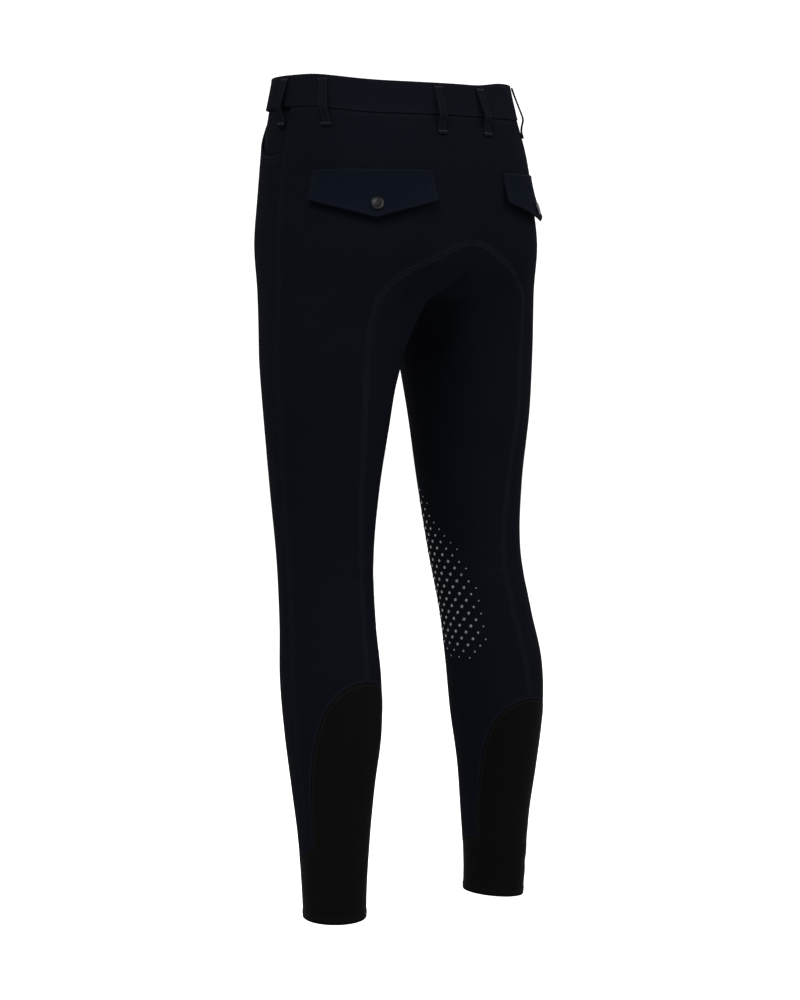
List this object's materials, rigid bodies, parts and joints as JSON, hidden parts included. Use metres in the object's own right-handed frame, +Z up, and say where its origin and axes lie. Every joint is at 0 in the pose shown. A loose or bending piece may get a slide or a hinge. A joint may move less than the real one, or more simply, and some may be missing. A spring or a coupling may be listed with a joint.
{
  "type": "riding breeches",
  "caption": "Men's full-length riding breeches in smooth stretch cloth, with an arched seat seam, pointed snap flaps on the back pockets, belt loops and elastic calf panels.",
  "frame": {"origin": "centre of the waist opening, half way up the waistband at the sides", "axes": "+Z up along the body, -Y the way the wearer faces, +X to the wearer's left"},
  "size_m": [0.3643, 0.243, 0.948],
  "materials": {
    "navy_cloth": "smooth matt four-way stretch weave, very dark navy",
    "elastic_cloth": "fine black elastic knit",
    "snap_metal": "dark gunmetal press stud, plain cap"
  },
  "bodies": {
    "root": {"front_left": "navy_cloth", "front_right": "navy_cloth", "back_left": "navy_cloth", "back_right": "navy_cloth", "waistband": "navy_cloth", "fly_placket": "navy_cloth", "pocket_facing_left": "navy_cloth", "pocket_facing_right": "navy_cloth", "pocket_flap_left": "navy_cloth", "pocket_flap_right": "navy_cloth", "belt_loop_front_left": "navy_cloth", "belt_loop_front_right": "navy_cloth", "belt_loop_side_left": "navy_cloth", "belt_loop_side_right": "navy_cloth", "belt_loop_hip_left": "navy_cloth", "belt_loop_hip_right": "navy_cloth", "belt_loop_back_left": "navy_cloth", "belt_loop_back_right": "navy_cloth", "calf_left": "elastic_cloth", "calf_right": "elastic_cloth", "flap_snap_left": "snap_metal", "flap_snap_right": "snap_metal", "waist_snap": "snap_metal"}
  },
  "joints": []
}
